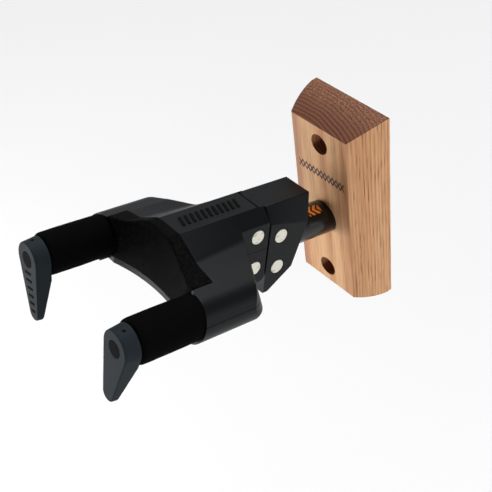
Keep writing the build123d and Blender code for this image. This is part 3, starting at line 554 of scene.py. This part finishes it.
def foam_outline(radius, rear, rim, front):
    """Squeezed tail, rounded rim, a body a little fuller in the middle, rolled front end."""
    tail = min(FOAM_TAIL, radius)
    outline = [(FOAM_BORE, rear), (tail, rear), (tail, rim + 0.4 * MM), (tail, rim)]
    outline += [(radius - less * MM, rim - ahead * MM) for less, ahead in FOAM_REAR_ROUND]
    body_rear = outline[-1][1]
    body_front = front + FOAM_FRONT_ROUND[0][1] * MM
    for i in range(1, FOAM_STATIONS):
        along = i / FOAM_STATIONS
        less = FOAM_TAPER * (1 - sin(pi * along))
        outline.append((radius - less, body_rear + (body_front - body_rear) * along))
    outline += [(radius - less * MM, front + back * MM) for less, back in FOAM_FRONT_ROUND]
    outline.append((FOAM_BORE, front))
    return outline


def foam_sleeve(side):
    """Its rear end is squeezed into the yoke's socket. The rim leans with the slanted socket and
    the skin is slightly dented."""
    node = f"foam_sleeve_{side}"
    low, high = head_box(node)
    centre = Vector(((low.x + high.x) / 2, 0, (low.z + high.z) / 2))
    rim = high.y - FOAM_IN_SOCKET
    shape = bmesh.new()
    lathe(shape, foam_outline((high.x - low.x) / 2, high.y, rim, low.y), centre, FOAM_STEPS)
    full_slant = rim - FOAM_REAR_ROUND[-1][1] * MM
    for vertex in shape.verts:
        x, y, z = vertex.co
        outward = Vector((x - centre.x, 0, z - centre.z))
        if outward.length > FOAM_BORE + 1 * MM and y < rim + 0.2 * MM:
            slant_share = max(0.0, min(1.0, 1 - (full_slant - y) / SLANT_REACH))
            vertex.co.y += SOCKET_SLANT * (z - centre.z) * slant_share
            if y < rim - 0.3 * MM:
                dent = noise.noise(Vector((x, y, z)) * FOAM_DENTS_PER_METRE) * FOAM_DENT
                vertex.co += outward.normalized() * dent
    sleeve = piece(node + "_foam", shape, "yoke", "black_foam")
    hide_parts(node)


def cradle_cushion():
    """The moulded pad between the arms: the CAD shape with its edges softened and its broad
    faces very slightly swollen."""
    shape = bmesh.new()
    shape.from_mesh(nodes["cradle_pad"].data)
    bmesh.ops.remove_doubles(shape, verts=shape.verts, dist=TOUCHING)
    mesh = bpy.data.meshes.new("cradle_core")
    shape.to_mesh(mesh)
    shape.free()
    core = bpy.data.objects.new("cradle_core", mesh)
    bpy.context.scene.collection.objects.link(core)
    remesh = core.modifiers.new("even", "REMESH")
    remesh.mode = "VOXEL"
    remesh.voxel_size = CUSHION_VOXEL
    bpy.context.view_layer.update()
    depsgraph = bpy.context.evaluated_depsgraph_get()
    even = bpy.data.meshes.new_from_object(core.evaluated_get(depsgraph))
    bpy.data.objects.remove(core)
    shape = bmesh.new()
    shape.from_mesh(even)
    for _ in range(CUSHION_SMOOTHINGS):
        bmesh.ops.smooth_vert(shape, verts=shape.verts, factor=0.5,
                              use_axis_x=True, use_axis_y=True, use_axis_z=True)
    shape.normal_update()
    for vertex in shape.verts:
        lump = noise.noise(vertex.co * CUSHION_LUMPS_PER_METRE)
        vertex.co += vertex.normal * CUSHION_SWELL * (1 + lump)
    shape.transform(TO_HEAD)
    cushion = piece("cradle_cushion", shape, "yoke", "cradle_rubber")
    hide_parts("cradle_pad")


def return_spring():
    """A round wire wound up from the actuator's plate to the yoke's roof."""
    low, high = head_box("return_spring")
    centre = (low + high) / 2
    winding = (high.x - low.x) / 2 - SPRING_WIRE_RADIUS
    steps = round(SPRING_TURNS * SPRING_STEPS_PER_TURN)
    shape = bmesh.new()
    upright = Matrix.Translation((winding, 0, 0)) @ Matrix.Rotation(pi / 2, 4, "X")
    wire = bmesh.ops.create_circle(shape, segments=SPRING_WIRE_SIDES, radius=SPRING_WIRE_RADIUS,
                                   cap_ends=True, matrix=upright)
    rise = (high.z - low.z - 2 * SPRING_WIRE_RADIUS) / steps
    bmesh.ops.spin(shape, geom=wire["verts"] + shape.edges[:] + shape.faces[:], cent=(0, 0, 0),
                   axis=(0, 0, 1), dvec=(0, 0, rise), angle=2 * pi * SPRING_TURNS, steps=steps)
    shape.transform(Matrix.Translation((centre.x, centre.y, low.z + SPRING_WIRE_RADIUS)))
    spring = piece("return_spring_coil", shape, "head", "spring_steel")
    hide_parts("return_spring")
    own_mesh(spring)


def bar(shape, size, place):
    """One low bar with rounded edges."""
    made = bmesh.ops.create_cube(shape, size=1.0, matrix=place @ Matrix.Diagonal((*size, 1)))
    edges = list({edge for vertex in made["verts"] for edge in vertex.link_edges})
    bmesh.ops.bevel(shape, geom=edges, offset=min(size) * 0.3, affect="EDGES", segments=2,
                    profile=0.5, material=-1)


def ridge_bars():
    """Low slanted bars along the yoke's flat ridge, between the pad and the head."""
    ridge_top = head_box("yoke_top_shell")[1].z
    pad_rear = head_box("cradle_pad")[1].y
    housing_front = head_box("rear_housing")[0].y
    middle = (pad_rear + housing_front) / 2 - 0.5 * MM
    shape = bmesh.new()
    for i in range(RIDGE_BARS):
        y = middle + (i - (RIDGE_BARS - 1) / 2) * RIDGE_BAR_PITCH
        place = Matrix.Translation((0, y, ridge_top)) @ Matrix.Rotation(RIDGE_BAR_TURN, 4, "Z")
        bar(shape, RIDGE_BAR_SIZE, place)
    # The raised bars are real relief. Their darker, duller black_plug finish is painted shade,
    # standing in for the shadow round the marks.
    piece("ridge_bars", shape, "yoke", "black_plug", smooth=False)


def gate_bars():
    """Short bars down the front of the left gate, from below its plug to its tip."""
    low, high = head_box("gate_left")
    plug_low, plug_high = head_box("gate_plug_left")
    plug = (plug_low + plug_high) / 2
    first = Vector((plug.x + 0.6 * MM, low.y, plug.z - 7.4 * MM))
    last = Vector((high.x - 5.2 * MM, low.y, low.z + 5.6 * MM))
    lean = atan2(last.x - first.x, first.z - last.z)
    shape = bmesh.new()
    for i in range(GATE_BARS):
        along = i / (GATE_BARS - 1)
        place = Matrix.Translation(first.lerp(last, along)) @ Matrix.Rotation(-lean, 4, "Y")
        length = GATE_BAR_LENGTH - GATE_BAR_SHORTENING * along
        bar(shape, (length, GATE_BAR_DEPTH, GATE_BAR_WIDTH), place)
    piece("gate_bars", shape, "gate_left", "black_plug", smooth=False)


# ---- floor, light and camera --------------------------------------------------------------


def floor():
    """A pale sheet far below, which closes the view under the horizon."""
    f = new_finish("pale_floor")
    f.surface({
        "Base Color": f.mix(f.grain(3), (0.9, 0.9, 0.9, 1), (0.92, 0.92, 0.92, 1)),
        "Roughness": 0.8,
    })
    shape = bmesh.new()
    bmesh.ops.create_grid(shape, x_segments=1, y_segments=1, size=FLOOR_HALF_WIDTH,
                          matrix=Matrix.Translation((0, 0, FLOOR_HEIGHT)))
    mesh = bpy.data.meshes.new("pale_floor")
    shape.to_mesh(mesh)
    shape.free()
    mesh.materials.append(f.owner)
    made = bpy.data.objects.new("pale_floor", mesh)
    bpy.context.scene.collection.objects.link(made)


def soft_surroundings():
    """Pale up to the horizon and just over it, dim and even higher up."""
    world = bpy.data.worlds.new("light_tent")
    bpy.context.scene.world = world
    f = Finish(world)
    height = f.split(f.node("ShaderNodeTexCoord", output="Generated"))[2]
    pale = (0.7, 0.7, 0.7, 1)
    dim = (0.20, 0.20, 0.21, 1)
    shade = f.node("ShaderNodeValToRGB", {"stops": [
        (0.0, pale), (0.04, pale), (0.22, dim), (1.0, dim),
    ]}, {0: height})
    background = f.tree.nodes["Background"]
    f.feed(background.inputs["Color"], shade)
    f.feed(background.inputs["Strength"], 1.0)


def lamp(name, place, aim, size, power):
    """A round soft lamp that points at a place on the hanger."""
    light = bpy.data.lights.new(name, "AREA")
    light.shape = "DISK"
    light.size = size
    light.energy = power
    made = bpy.data.objects.new(name, light)
    made.location = place
    made.rotation_euler = (Vector(aim) - Vector(place)).to_track_quat("-Z", "Y").to_euler()
    bpy.context.scene.collection.objects.link(made)


def skylight(direction, strength):
    """Broad, even light from high behind the hanger, which keeps the floor nearly white."""
    light = bpy.data.lights.new("skylight", "SUN")
    light.angle = radians(50)
    light.energy = strength
    made = bpy.data.objects.new("skylight", light)
    made.rotation_euler = Vector(direction).to_track_quat("Z", "Y").to_euler()
    bpy.context.scene.collection.objects.link(made)


def camera():
    """Looks down from the front right, turned a little about its own line of sight."""
    azimuth, elevation, roll = radians(57.2), radians(43.0), radians(-8.76)
    aim = Vector((0, -77.6 * MM, 8.4 * MM))
    distance = 486.7 * MM
    turn = Matrix.Rotation(azimuth, 4, "Z") @ Matrix.Rotation(pi / 2 - elevation, 4, "X")
    turn = turn @ Matrix.Rotation(roll, 4, "Z")
    lens = bpy.data.cameras.new("camera")
    lens.lens = 68.8
    lens.sensor_width = 36
    lens.clip_start = 0.01
    made = bpy.data.objects.new("camera", lens)
    made.matrix_world = Matrix.Translation(aim) @ turn @ Matrix.Translation((0, 0, distance))
    bpy.context.scene.collection.objects.link(made)
    bpy.context.scene.camera = made


finish_cad_nodes()
for arm in ("left", "right"):
    foam_sleeve(arm)
cradle_cushion()
return_spring()
ridge_bars()
gate_bars()
floor()
soft_surroundings()
skylight(direction=(-0.35, 0.45, 1.0), strength=2.5)
lamp("key", place=(-0.75, -0.95, -0.16), aim=(0, -0.03, 0.0), size=0.5, power=7)
lamp("side_fill", place=(1.3, 0.25, 0.15), aim=(0, -0.05, 0.0), size=0.8, power=5)
camera()
bpy.context.scene.view_settings.view_transform = "Standard"
